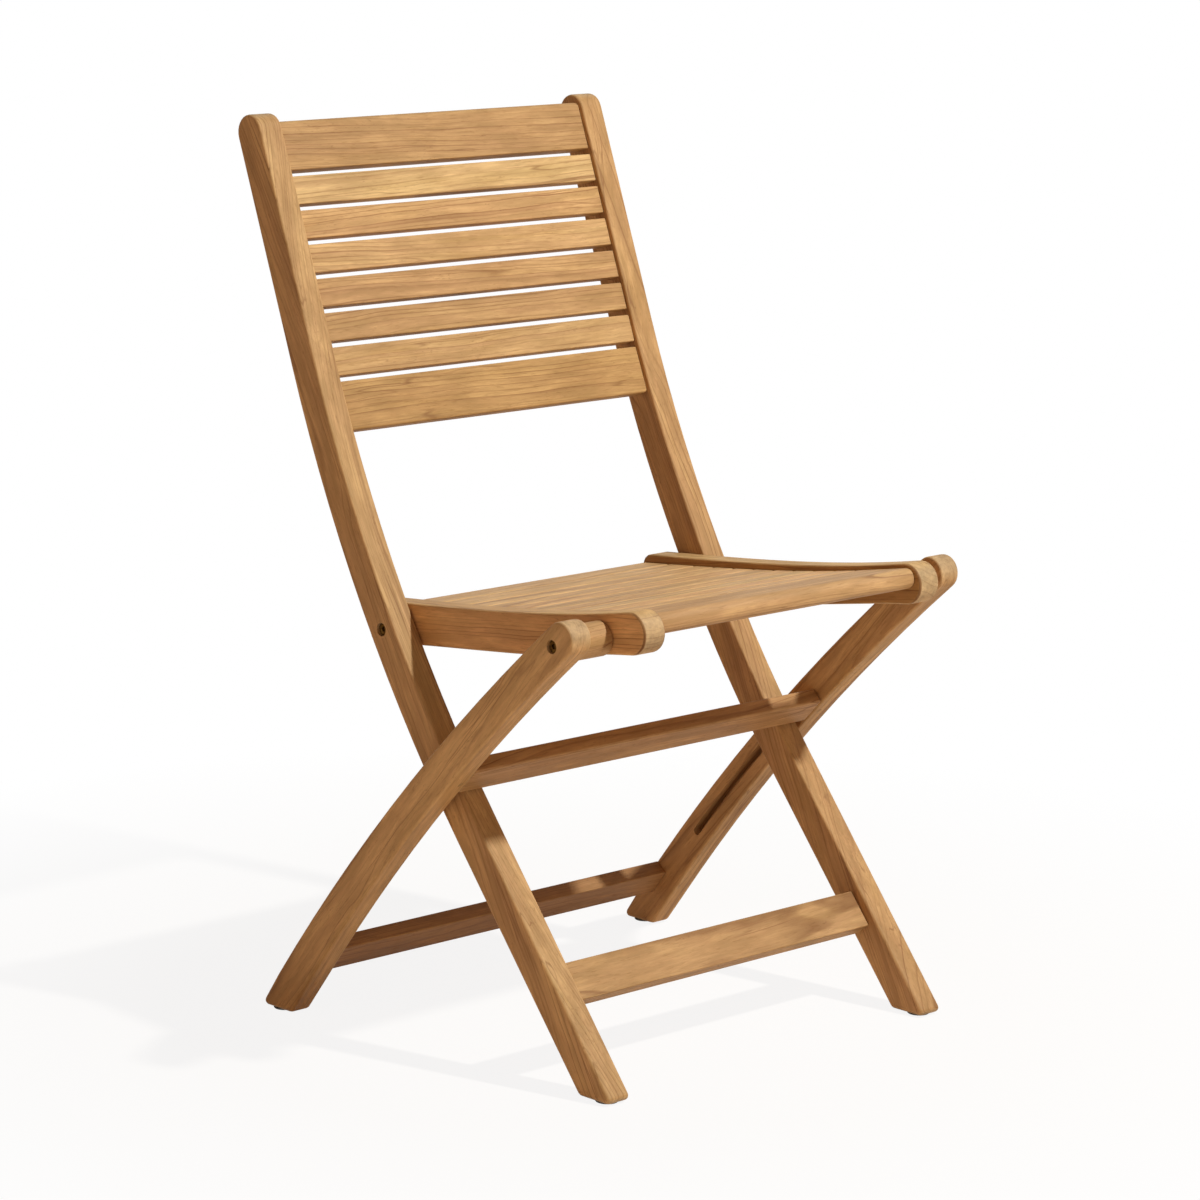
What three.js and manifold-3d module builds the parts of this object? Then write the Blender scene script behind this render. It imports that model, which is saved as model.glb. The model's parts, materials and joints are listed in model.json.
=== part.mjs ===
// Folding teak side chair, in millimetres, +Z up, facing -Y, standing open on the floor.
//
// Two frames cross like scissors. The back frame runs from the top of the back down to the
// front feet. The leg frame runs from the front of the seat down to the rear feet, outside
// the back frame. The seat turns on both frames, and a pin in each stile guides a slot in
// the leg beside it. Outlines are drawn in the side plane, as (y, z), and extruded along X.

import * as THREE from 'three';
import { mergeVertices } from 'three/addons/utils/BufferGeometryUtils.js';
import Module from 'manifold-3d';

const wasm = await Module();
wasm.setup();

// Fits
const seatGap = 0.3; // between wood or metal faces that bear on each other
const overrun = 2; // how far a cutter runs past the face that it opens
const arcSteps = 14; // segments in a half circle
const holeSides = 20; // sides of a bore, pin or bolt
const cornerSteps = 4; // segments in a rounded corner
const halvings = 50; // steps of a search by halving
const mergeShare = 0.001; // of the gap, within which two corners are one

// Widths across the chair, from the middle outwards
const seatInnerWidth = 344;
const railThickness = 27;
const washerThickness = 0.8;
const stileThickness = 28;
const legClearance = 8;
const legThickness = 25;

// Back frame
const totalHeight = 874;
const stileDepth = 35.4;
const stileFootY = -265.5;
const lowerSlope = THREE.MathUtils.degToRad(39.3);
const upperSlope = THREE.MathUtils.degToRad(20.7);
const bendStartHeight = 222;
const bendRadius = 1500;
const backSlatThickness = 14.5;
const backTopThickness = 17;
const backTopWidth = 50;
const backSlatWidth = 28.2;
const backBoardWidth = 49;
const backSlatGap = 6.1;
const backSlatCount = 6;
const backSlatRecess = 4.5;
const backTopMargin = 10.5;
const frontStretcherThickness = 18;
const frontStretcherWidth = 39;
const frontStretcherRecess = 10;
const frontStretcherTopHeight = 106;

// Seat
const seatPivotHeight = 398;
const pivotSpacing = 274.3;
const seatRise = THREE.MathUtils.degToRad(6.76);
const railRearLength = 52;
const railRearTop = 24;
const railDipRear = 80;
const railDipRearTop = 19.5;
const railDipFront = 190;
const railDipFrontTop = 15.5;
const railNoseCentre = 312;
const railNoseTop = 25.2;
const railRearBottom = -18.2;
const railBelly = [[32, -18.5], [118, -19.9], [175, -20.2], [235, -17.6], [280, -15.5]];
const railNoseBottom = -14.9;
const railTopCorner = 12;
const railBottomCorner = 9;
const seatSlatThickness = 14;
const seatSlatGap = 3.5;
const seatRearDrop = 8.6;
const seatFrontDrop = 4;
const wideSlatPitch = 37.4;
const wideSlatCount = 2;
const seatSlatPitch = 28;
const seatSlatCount = 10;
const seatRearInset = 4.5;
const frontSlatWidth = 73;
const frontSlatThickness = 20;
const frontSlatNose = 9;

// Leg frame
const legFrontHalf = 18;
const legRearHalf = 18.9;
const legTopTaper = 2.6;
const legFootY = 158.4;
const legBowRadius = 2450;
const legTopReach = 29;
const middleStretcherAlong = 193.1;
const middleStretcherWidth = 35;
const middleStretcherThickness = 16.5;
const rearStretcherAlong = 506;
const rearStretcherWidth = 32;
const rearStretcherThickness = 16.5;
const legStretcherRecess = 0.5;

// Joinery
const tenonShoulder = 3.5;
const backTenonLength = 14;
const seatTenonLength = 9;
const stretcherTenonLength = 18;
const pegRadius = 2.6;
const pegLength = 22;
const pegInset = 7.5;

// Pivots and guide
const pivotRadius = 4;
const pivotClearance = 0.35;
const counterboreRadius = 6.5;
const counterboreDepth = 6.5;
const boltHeadRadius = 6;
const boltHeadHeight = 3.6;
const socketRadius = 3;
const socketDepth = 2.4;
const insertRadius = 6;
const insertLength = 15;
const spacerRadius = 16.5;
const washerRadius = 10;
const guidePinRadius = 4;
const guidePinDepth = 18;
const slotClearance = 0.4;
const slotTravel = 190;
const slotDepth = 14;

// Feet
const glideThickness = 1.5;
const glideEdge = 0.6;
const glideRadius = 11;
const glideStemRadius = 1.8;
const glideStemLength = 14;
const footSharpCorner = 4.5;
const footBluntCorner = 7;

// Planes across the chair, worked out from the middle
const railInner = seatInnerWidth / 2;
const railOuter = railInner + railThickness;
const stileInner = railOuter + washerThickness + 2 * seatGap;
const stileOuter = stileInner + stileThickness;
const legInner = stileOuter + legClearance;
const legOuter = legInner + legThickness;
const footHeight = glideThickness + seatGap;

// Small helpers for points in the side plane
const point = (y, z) => new THREE.Vector2(y, z);
const along = (origin, direction, distance) => origin.clone().addScaledVector(direction, distance);

function arcPoints(centre, radius, from, to, steps = arcSteps) {
  const points = [];
  for (let i = 0; i <= steps; i += 1) {
    const angle = from + ((to - from) * i) / steps;
    points.push(point(centre.x + radius * Math.cos(angle), centre.y + radius * Math.sin(angle)));
  }
  return points;
}

// A corner of an outline, rounded between its two neighbours
function roundCorner(before, corner, after, radius, steps = cornerSteps) {
  const inward = before.clone().sub(corner).normalize();
  const onward = after.clone().sub(corner).normalize();
  const halfAngle = Math.acos(THREE.MathUtils.clamp(inward.dot(onward), -1, 1)) / 2;
  const start = along(corner, inward, radius / Math.tan(halfAngle));
  const end = along(corner, onward, radius / Math.tan(halfAngle));
  const middle = inward.clone().add(onward).normalize();
  const centre = along(corner, middle, radius / Math.sin(halfAngle));
  const from = start.clone().sub(centre).angle();
  let turn = end.clone().sub(centre).angle() - from;
  if (turn > Math.PI) turn -= 2 * Math.PI;
  if (turn < -Math.PI) turn += 2 * Math.PI;
  return arcPoints(centre, radius, from, from + turn, steps);
}

// A board's section: origin at the middle of its face edge, width along one way, depth inwards
function boardSection(corner, widthWay, width, depthWay, depth) {
  const far = along(corner, widthWay, width);
  return [corner, far, along(far, depthWay, depth), along(corner, depthWay, depth)];
}

// The same section drawn in or let out by a margin on every side
function insetSection(section, margin) {
  const wide = section[1].clone().sub(section[0]).normalize();
  const deep = section[3].clone().sub(section[0]).normalize();
  const shift = (corner, a, b) => along(along(corner, wide, a * margin), deep, b * margin);
  return [
    shift(section[0], 1, 1),
    shift(section[1], -1, 1),
    shift(section[2], -1, -1),
    shift(section[3], 1, -1),
  ];
}

// An outline of the side plane as a plate between two planes across the chair
function plate(outline, fromX, toX) {
  const ordered = THREE.ShapeUtils.isClockWise(outline) ? [...outline].reverse() : outline;
  const depth = Math.abs(toX - fromX);
  const geometry = new THREE.ExtrudeGeometry(new THREE.Shape(ordered), { depth, bevelEnabled: false });
  const turned = new THREE.Matrix4().makeBasis(
    new THREE.Vector3(0, 1, 0),
    new THREE.Vector3(0, 0, 1),
    new THREE.Vector3(1, 0, 0),
  );
  return geometry.applyMatrix4(turned).translate(Math.min(fromX, toX), 0, 0);
}

// A turned piece on an axis across the chair, its profile as (radius, distance outwards)
function turned(profile, centre, side, fromX) {
  const points = profile.map(([radius, distance]) => new THREE.Vector2(radius, distance));
  const geometry = new THREE.LatheGeometry(points, holeSides);
  geometry.rotateZ(-Math.PI / 2 * side);
  return geometry.translate(side * fromX, centre.x, centre.y);
}

function rod(radius, centre, side, fromX, toX) {
  const length = toX - fromX;
  return turned([[0, 0], [radius, 0], [radius, length], [0, length]], centre, side, fromX);
}

// Solids: a closed geometry becomes a solid, and a solid becomes a geometry again
function solid(geometry) {
  const bare = geometry.clone();
  bare.deleteAttribute('normal');
  bare.deleteAttribute('uv');
  const merged = mergeVertices(bare, seatGap * mergeShare);
  return new wasm.Manifold(new wasm.Mesh({
    numProp: 3,
    vertProperties: new Float32Array(merged.attributes.position.array),
    triVerts: new Uint32Array(merged.index.array),
  }));
}

function geometryOf(body) {
  const mesh = body.getMesh();
  const geometry = new THREE.BufferGeometry();
  geometry.setAttribute('position', new THREE.BufferAttribute(new Float32Array(mesh.vertProperties), 3));
  geometry.setIndex(new THREE.BufferAttribute(new Uint32Array(mesh.triVerts), 1));
  return geometry;
}

function cut(geometry, cutters) {
  return geometryOf(cutters.reduce((body, cutter) => body.subtract(solid(cutter)), solid(geometry)));
}

function join(geometries) {
  const [first, ...others] = geometries.map(solid);
  return geometryOf(others.reduce((body, other) => body.add(other), first));
}

// A board across the chair, with a tenon at each end
function tenonedBoard(section, shoulderX, tenonLength) {
  const reach = shoulderX - seatGap + tenonLength;
  const tenon = plate(insetSection(section, tenonShoulder), -reach, reach);
  return join([plate(section, seatGap - shoulderX, shoulderX - seatGap), tenon]);
}

// The mortise that such a board's tenon fits, cut from the shoulder plane outwards
function mortise(section, shoulderX, tenonLength, side) {
  const opening = insetSection(section, tenonShoulder - seatGap);
  return plate(opening, side * (shoulderX - overrun), side * (shoulderX + tenonLength));
}

// The stile's centreline: straight up from the foot, a long bend, then straight up the back
const bendStart = point(stileFootY + bendStartHeight * Math.tan(lowerSlope), bendStartHeight);
const bendCentre = point(
  bendStart.x - bendRadius * Math.cos(lowerSlope),
  bendStart.y + bendRadius * Math.sin(lowerSlope),
);
const bendPoint = (slope) => point(
  bendStart.x + bendRadius * (Math.cos(slope) - Math.cos(lowerSlope)),
  bendStart.y + bendRadius * (Math.sin(lowerSlope) - Math.sin(slope)),
);
const bendEnd = bendPoint(upperSlope);
const bendLength = bendRadius * (lowerSlope - upperSlope);

// Way along the stile upwards, and way out of its front face, for a slope
const upWay = (slope) => point(Math.sin(slope), Math.cos(slope));
const frontWay = (slope) => point(-Math.cos(slope), Math.sin(slope));

// The centreline at a height, and at a distance down from the stile's rounded top
function stileAtHeight(height) {
  if (height <= bendStart.y) {
    return { centre: point(stileFootY + height * Math.tan(lowerSlope), height), slope: lowerSlope };
  }
  if (height >= bendEnd.y) {
    const run = (height - bendEnd.y) * Math.tan(upperSlope);
    return { centre: point(bendEnd.x + run, height), slope: upperSlope };
  }
  const slope = Math.asin(Math.sin(lowerSlope) - (height - bendStart.y) / bendRadius);
  return { centre: bendPoint(slope), slope };
}

const stileTop = stileAtHeight(totalHeight - stileDepth / 2);

function stileBelowTop(distance) {
  const straight = stileTop.centre.distanceTo(bendEnd) + stileDepth / 2;
  if (distance <= straight) {
    const centre = along(stileTop.centre, upWay(upperSlope), stileDepth / 2 - distance);
    return { centre, slope: upperSlope };
  }
  const slope = upperSlope + (distance - straight) / bendRadius;
  return { centre: bendPoint(slope), slope };
}

function stileOutline() {
  const half = stileDepth / 2;
  const foot = stileAtHeight(footHeight);
  const toe = along(foot.centre, point(-1, 0), half / Math.cos(lowerSlope));
  const heel = along(foot.centre, point(1, 0), half / Math.cos(lowerSlope));
  const bend = Array.from({ length: arcSteps + 1 }, (_, i) => (
    lowerSlope + ((upperSlope - lowerSlope) * i) / arcSteps
  ));
  const front = bend.map((slope) => along(bendPoint(slope), frontWay(slope), half));
  const rear = bend.map((slope) => along(bendPoint(slope), frontWay(slope), -half)).reverse();
  const topAngle = frontWay(upperSlope).angle();
  return [
    ...roundCorner(heel, toe, front[0], footSharpCorner),
    ...front,
    ...arcPoints(stileTop.centre, half, topAngle, topAngle - Math.PI),
    ...rear,
    ...roundCorner(rear[rear.length - 1], heel, toe, footBluntCorner),
  ];
}

// Seat: its own way forwards runs from the rear pivot to the front pivot
const rearPivot = stileAtHeight(seatPivotHeight).centre;
const seatWay = point(-Math.cos(seatRise), Math.sin(seatRise));
const seatUp = point(Math.sin(seatRise), Math.cos(seatRise));
const onSeat = (forward, up) => along(along(rearPivot, seatWay, forward), seatUp, up);
const frontPivot = onSeat(pivotSpacing, 0);

const railNoseRadius = (railNoseTop - railNoseBottom) / 2;
const railTopCurve = new THREE.CubicBezierCurve(
  point(-railRearLength, railRearTop),
  point(railDipRear, railDipRearTop),
  point(railDipFront, railDipFrontTop),
  point(railNoseCentre, railNoseTop),
);
const railBottomCurve = new THREE.SplineCurve([
  point(-railRearLength, railRearBottom),
  ...railBelly.map(([forward, height]) => point(forward, height)),
  point(railNoseCentre, railNoseBottom),
]);

// Height of the rail's top edge above the pivot line, at a distance forward of the rear pivot
function railTopAt(forward) {
  let low = 0;
  let high = 1;
  for (let i = 0; i < halvings; i += 1) {
    const middle = (low + high) / 2;
    if (railTopCurve.getPoint(middle).x < forward) low = middle;
    else high = middle;
  }
  return railTopCurve.getPoint(low);
}

function railOutline() {
  const nose = point(railNoseCentre, railNoseTop - railNoseRadius);
  const top = railTopCurve.getPoints(2 * arcSteps);
  const rearTop = top[0];
  const bottom = railBottomCurve.getPoints(2 * arcSteps);
  const rearBottom = bottom[0];
  const pastCorner = top.filter((place) => place.x > rearTop.x + railTopCorner);
  const beforeCorner = bottom.filter((place) => place.x > rearBottom.x + railBottomCorner);
  return [
    ...beforeCorner.slice(1, -1).reverse(),
    ...roundCorner(beforeCorner[0], rearBottom, rearTop, railBottomCorner),
    ...roundCorner(rearBottom, rearTop, pastCorner[0], railTopCorner),
    ...pastCorner.slice(0, -1),
    ...arcPoints(nose, railNoseRadius, Math.PI / 2, -Math.PI / 2),
  ].map((place) => onSeat(place.x, place.y));
}

// The slats' tops lie below the rail's top edge and follow its curve
function seatTopAt(forward) {
  const share = (forward + railRearLength) / (railNoseCentre + railRearLength);
  const drop = THREE.MathUtils.lerp(seatRearDrop, seatFrontDrop, share);
  return onSeat(forward, railTopAt(forward).y - drop);
}

function seatSlatSection(rear, width, thickness) {
  const corner = seatTopAt(rear);
  const way = seatTopAt(rear + width).sub(corner).normalize();
  return boardSection(corner, way, width, point(way.y, -way.x).negate(), thickness);
}

function seatSlatSections() {
  const sections = [];
  let rear = seatRearInset - railRearLength;
  for (let i = 0; i < seatSlatCount; i += 1) {
    const pitch = i < wideSlatCount ? wideSlatPitch : seatSlatPitch;
    sections.push(seatSlatSection(rear, pitch - seatSlatGap, seatSlatThickness));
    rear += pitch;
  }
  return { sections, front: seatSlatSection(rear, frontSlatWidth, frontSlatThickness) };
}

// The leg's centreline: one long bow from the front pivot down to the rear foot
const legFoot = point(legFootY, 0);
const legChord = legFoot.clone().sub(frontPivot);
const chordMiddle = along(frontPivot, legChord, 0.5);
const towardsBow = point(legChord.y, -legChord.x).normalize();
const bowDrop = Math.sqrt(legBowRadius ** 2 - legChord.lengthSq() / 4);
const bowCentre = along(chordMiddle, towardsBow, bowDrop);
const legStartAngle = frontPivot.clone().sub(bowCentre).angle();
const legTurn = Math.sign(Math.cos(legStartAngle)) * -1;

// A point on the leg: distance down the bow from the front pivot, and offset out of the bow
function onLeg(down, out) {
  const angle = legStartAngle + (legTurn * down) / legBowRadius;
  const radius = legBowRadius + out;
  return point(bowCentre.x + radius * Math.cos(angle), bowCentre.y + radius * Math.sin(angle));
}

// Distance down the leg at which an offset line reaches a height
function legDownAtHeight(height, out) {
  const angle = Math.asin((height - bowCentre.y) / (legBowRadius + out));
  return Math.abs(angle - legStartAngle) * legBowRadius;
}

// A line down the leg, its offset given for each distance
function legLine(from, to, offsetAt) {
  return Array.from({ length: arcSteps + 1 }, (_, i) => {
    const down = from + ((to - from) * i) / arcSteps;
    return onLeg(down, offsetAt(down));
  });
}

// The leg's rear edge: it draws in towards the top, and its front edge keeps one offset
const legLength = legDownAtHeight(0, 0);
const legRearEdge = (down) => legRearHalf - legTopTaper * (1 - down / legLength);

function legOutline() {
  const topRear = legRearEdge(0);
  const topRadius = (topRear + legFrontHalf) / 2;
  const topOffset = (topRear - legFrontHalf) / 2;
  const roundCentre = topRadius - legTopReach;
  const heelDown = legDownAtHeight(footHeight, legRearHalf);
  const rear = legLine(roundCentre, heelDown, legRearEdge);
  const front = legLine(legDownAtHeight(footHeight, -legFrontHalf), roundCentre, () => -legFrontHalf);
  const heel = rear.pop();
  const toe = front.shift();
  const outAngle = rear[0].clone().sub(bowCentre).angle();
  return [
    ...arcPoints(onLeg(roundCentre, topOffset), topRadius, outAngle + Math.PI, outAngle),
    ...rear.slice(1),
    ...roundCorner(rear[rear.length - 1], heel, toe, footSharpCorner),
    ...roundCorner(heel, toe, front[0], footBluntCorner),
    ...front.slice(0, -1),
  ];
}

// Where the stile's and the leg's centrelines cross, the guide pin's place
function crossing() {
  let low = 0;
  let high = seatPivotHeight;
  const ahead = (height) => {
    const down = legDownAtHeight(height, 0);
    return stileAtHeight(height).centre.x - onLeg(down, 0).x;
  };
  for (let i = 0; i < halvings; i += 1) {
    const middle = (low + high) / 2;
    if (ahead(middle) < 0) low = middle;
    else high = middle;
  }
  return stileAtHeight(low).centre;
}

const guidePin = crossing();
const guideDown = legDownAtHeight(guidePin.y, 0);

function slotOutline() {
  const half = guidePinRadius + slotClearance;
  const end = guideDown + slotTravel;
  const outAngle = onLeg(guideDown, half).sub(bowCentre).angle();
  const endAngle = onLeg(end, half).sub(bowCentre).angle();
  return [
    ...arcPoints(onLeg(guideDown, 0), half, outAngle + Math.PI, outAngle),
    ...legLine(guideDown, end, () => half).slice(1, -1),
    ...arcPoints(onLeg(end, 0), half, endAngle, endAngle - Math.PI),
    ...legLine(end, guideDown, () => -half).slice(1, -1),
  ];
}

// Sections of the boards that cross the chair
function backSections() {
  const sizes = [
    [backTopWidth, backTopThickness],
    ...Array(backSlatCount).fill([backSlatWidth, backSlatThickness]),
    [backBoardWidth, backSlatThickness],
  ];
  let distance = backTopMargin;
  return sizes.map(([width, thickness]) => {
    const { centre, slope } = stileBelowTop(distance + width / 2);
    const faceMiddle = along(centre, frontWay(slope), stileDepth / 2 - backSlatRecess);
    const corner = along(faceMiddle, upWay(slope), -width / 2);
    distance += width + backSlatGap;
    return boardSection(corner, upWay(slope), width, frontWay(slope).negate(), thickness);
  });
}

function frontStretcherSection() {
  const { centre, slope } = stileAtHeight(frontStretcherTopHeight);
  const corner = along(centre, frontWay(slope), stileDepth / 2 - frontStretcherRecess);
  const down = upWay(slope).negate();
  return boardSection(corner, down, frontStretcherWidth, frontWay(slope).negate(), frontStretcherThickness);
}

// A board across the legs, its face at an offset from the bow and its depth from there inwards
function legStretcherSection(down, width, outer, thickness) {
  const corner = onLeg(down, outer);
  const widthWay = onLeg(down + width, outer).sub(corner).normalize();
  const faceMiddle = onLeg(down + width / 2, outer);
  const depthWay = bowCentre.clone().sub(faceMiddle).normalize().multiplyScalar(Math.sign(outer));
  return boardSection(corner, widthWay, width, depthWay, thickness);
}

const backBoards = backSections();
const seatBoards = seatSlatSections();
const frontStretcher = frontStretcherSection();
const middleStretcher = legStretcherSection(
  middleStretcherAlong, middleStretcherWidth, legStretcherRecess - legFrontHalf, middleStretcherThickness,
);
const rearStretcher = legStretcherSection(
  rearStretcherAlong,
  rearStretcherWidth,
  legRearEdge(rearStretcherAlong) - legStretcherRecess,
  rearStretcherThickness,
);

// Pegs run from the leg's front edge through the middle stretcher's tenon
const pegDown = middleStretcherAlong + middleStretcherWidth / 2;
const pegX = legInner + pegInset;

function pegGeometry(side, radius, extra) {
  const start = onLeg(pegDown, -legFrontHalf - extra);
  const end = onLeg(pegDown, pegLength - legFrontHalf);
  const way = new THREE.Vector3(0, end.x - start.x, end.y - start.y);
  const geometry = new THREE.CylinderGeometry(radius, radius, way.length(), holeSides);
  const turn = new THREE.Quaternion().setFromUnitVectors(
    new THREE.Vector3(0, 1, 0),
    way.clone().normalize(),
  );
  const middle = start.clone().add(end).multiplyScalar(0.5);
  return geometry.applyQuaternion(turn).translate(side * pegX, middle.x, middle.y);
}

// Feet: a glide's disc lies under the foot and its stem runs up into it
const stileGlide = stileAtHeight(0).centre;
const legGlide = onLeg(legDownAtHeight(0, 0), 0);

function glideGeometry(x, place) {
  const top = glideThickness;
  const profile = [
    [0, 0], [glideRadius - glideEdge, 0], [glideRadius, glideEdge], [glideRadius, top],
    [glideStemRadius, top], [glideStemRadius, top + glideStemLength], [0, top + glideStemLength],
  ].map(([radius, height]) => new THREE.Vector2(radius, height));
  const geometry = new THREE.LatheGeometry(profile, holeSides);
  return geometry.rotateX(Math.PI / 2).translate(x, place.x, 0);
}

function glideBore(x, place) {
  const radius = glideStemRadius + seatGap;
  const length = glideStemLength + overrun + 2 * seatGap;
  const geometry = new THREE.CylinderGeometry(radius, radius, length, holeSides);
  const middle = glideThickness + glideStemLength + 2 * seatGap - length / 2;
  return geometry.rotateX(Math.PI / 2).translate(x, place.x, middle);
}

// Pivot hardware: a socket-head bolt from the outside, into an insert let into the rail
const insertOuterEnd = railOuter - seatGap;
const insertInnerEnd = insertOuterEnd - insertLength;
const boltTip = insertInnerEnd + seatGap;

function boltGeometry(centre, side, outerFace) {
  const headTop = outerFace - counterboreDepth + seatGap + boltHeadHeight;
  const underHead = headTop - boltHeadHeight;
  return turned([
    [0, boltTip], [pivotRadius, boltTip], [pivotRadius, underHead], [boltHeadRadius, underHead],
    [boltHeadRadius, headTop], [socketRadius, headTop], [socketRadius, headTop - socketDepth],
    [0, headTop - socketDepth],
  ], centre, side, 0);
}

const boltBore = (centre, side, fromX, toX) => (
  rod(pivotRadius + pivotClearance, centre, side, fromX - overrun, toX + overrun)
);
const counterbore = (centre, side, outerFace) => (
  rod(counterboreRadius, centre, side, outerFace - counterboreDepth, outerFace + overrun)
);

function ringGeometry(centre, side, fromX, toX, outerRadius) {
  const length = toX - fromX;
  const bore = pivotRadius + pivotClearance;
  return turned([
    [bore, 0], [outerRadius, 0], [outerRadius, length], [bore, length], [bore, 0],
  ], centre, side, fromX);
}

function insertPocket(centre, side) {
  return rod(insertRadius + seatGap, centre, side, insertInnerEnd - seatGap, railOuter + overrun);
}

// Wooden side members, each cut for what it carries
function stileGeometry(side) {
  const sections = [...backBoards, frontStretcher];
  const lengths = [...backBoards.map(() => backTenonLength), stretcherTenonLength];
  return cut(plate(stileOutline(), side * stileInner, side * stileOuter), [
    ...sections.map((section, i) => mortise(section, stileInner, lengths[i], side)),
    boltBore(rearPivot, side, stileInner, stileOuter),
    counterbore(rearPivot, side, stileOuter),
    rod(guidePinRadius + seatGap, guidePin, side, stileOuter - guidePinDepth - seatGap, stileOuter + overrun),
    glideBore(side * (stileInner + stileThickness / 2), stileGlide),
  ]);
}

function legGeometry(side) {
  return cut(plate(legOutline(), side * legInner, side * legOuter), [
    mortise(middleStretcher, legInner, stretcherTenonLength, side),
    mortise(rearStretcher, legInner, stretcherTenonLength, side),
    boltBore(frontPivot, side, legInner, legOuter),
    counterbore(frontPivot, side, legOuter),
    plate(slotOutline(), side * (legInner - overrun), side * (legInner + slotDepth)),
    pegGeometry(side, pegRadius + seatGap, overrun),
    glideBore(side * (legInner + legThickness / 2), legGlide),
  ]);
}

function railGeometry(side) {
  const sections = [...seatBoards.sections, seatBoards.front];
  return cut(plate(railOutline(), side * railInner, side * railOuter), [
    ...sections.map((section) => mortise(section, railInner, seatTenonLength, side)),
    insertPocket(rearPivot, side),
    insertPocket(frontPivot, side),
  ]);
}

// The front slat's section, its front edges rounded into a bull nose
function bullNose(section) {
  const [rearTop, frontTop, frontBottom, rearBottom] = section;
  return [
    rearTop,
    ...roundCorner(rearTop, frontTop, frontBottom, frontSlatNose, arcSteps / 2),
    ...roundCorner(frontTop, frontBottom, rearBottom, frontSlatNose, arcSteps / 2),
    rearBottom,
  ];
}

function frontSlatGeometry() {
  const shoulder = railInner - seatGap;
  const reach = shoulder + seatTenonLength;
  const tenon = plate(insetSection(seatBoards.front, tenonShoulder), -reach, reach);
  return join([plate(bullNose(seatBoards.front), -shoulder, shoulder), tenon]);
}

// The middle stretcher's tenons are bored for the pegs
function middleStretcherGeometry() {
  const board = tenonedBoard(middleStretcher, legInner, stretcherTenonLength);
  return cut(board, [1, -1].map((side) => pegGeometry(side, pegRadius + seatGap, overrun)));
}

// Finishes
const finish = (name, color, roughness, metalness) => (
  new THREE.MeshStandardMaterial({ name, color, roughness, metalness })
);
const frameTeak = () => finish('teak_frame', 0xb98850, 0.6, 0);
const slatTeak = () => finish('teak_slats', 0xc4955a, 0.6, 0);
const brass = () => finish('brass', 0x8c7440, 0.4, 1);
const steel = () => finish('steel', 0x8a8a88, 0.35, 1);
const plastic = () => finish('glide_plastic', 0x4a3c2e, 0.6, 0);

const chair = new THREE.Group();

function addPiece(name, geometry, material) {
  const mesh = new THREE.Mesh(geometry, material);
  mesh.name = name;
  chair.add(mesh);
}

for (const [hand, side] of [['left', 1], ['right', -1]]) {
  addPiece(`stile_${hand}`, stileGeometry(side), frameTeak());
  addPiece(`leg_${hand}`, legGeometry(side), frameTeak());
  addPiece(`seat_rail_${hand}`, railGeometry(side), frameTeak());
  addPiece(`spacer_${hand}`, ringGeometry(
    frontPivot, side, railOuter + seatGap, legInner - seatGap, spacerRadius,
  ), frameTeak());
  addPiece(`seat_washer_${hand}`, ringGeometry(
    rearPivot, side, railOuter + seatGap, stileInner - seatGap, washerRadius,
  ), steel());
  addPiece(`rear_pivot_bolt_${hand}`, boltGeometry(rearPivot, side, stileOuter), brass());
  addPiece(`front_pivot_bolt_${hand}`, boltGeometry(frontPivot, side, legOuter), brass());
  addPiece(`rear_pivot_insert_${hand}`, ringGeometry(
    rearPivot, side, insertInnerEnd, insertOuterEnd, insertRadius,
  ), brass());
  addPiece(`front_pivot_insert_${hand}`, ringGeometry(
    frontPivot, side, insertInnerEnd, insertOuterEnd, insertRadius,
  ), brass());
  addPiece(`guide_pin_${hand}`, rod(
    guidePinRadius, guidePin, side, stileOuter - guidePinDepth, legInner - seatGap,
  ), steel());
  addPiece(`peg_${hand}`, pegGeometry(side, pegRadius, 0), frameTeak());
  addPiece(`front_glide_${hand}`, glideGeometry(
    side * (stileInner + stileThickness / 2), stileGlide,
  ), plastic());
  addPiece(`rear_glide_${hand}`, glideGeometry(
    side * (legInner + legThickness / 2), legGlide,
  ), plastic());
}

backBoards.forEach((section, i) => {
  addPiece(`back_slat_${i + 1}`, tenonedBoard(section, stileInner, backTenonLength), slatTeak());
});
seatBoards.sections.forEach((section, i) => {
  addPiece(`seat_slat_${i + 1}`, tenonedBoard(section, railInner, seatTenonLength), slatTeak());
});
addPiece('seat_front_slat', frontSlatGeometry(), slatTeak());
addPiece('front_stretcher', tenonedBoard(frontStretcher, stileInner, stretcherTenonLength), frameTeak());
addPiece('middle_stretcher', middleStretcherGeometry(), frameTeak());
addPiece('rear_stretcher', tenonedBoard(rearStretcher, legInner, stretcherTenonLength), frameTeak());

// The origin lies on the floor, under the middle of the chair's outer box
const middle = new THREE.Box3().setFromObject(chair).getCenter(new THREE.Vector3());
chair.position.set(-middle.x, -middle.y, 0);
chair.updateMatrixWorld(true);

export default chair;
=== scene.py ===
from functools import partial
import json
import math
import random

import bmesh
import bpy
from mathutils import Matrix, Vector

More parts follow.
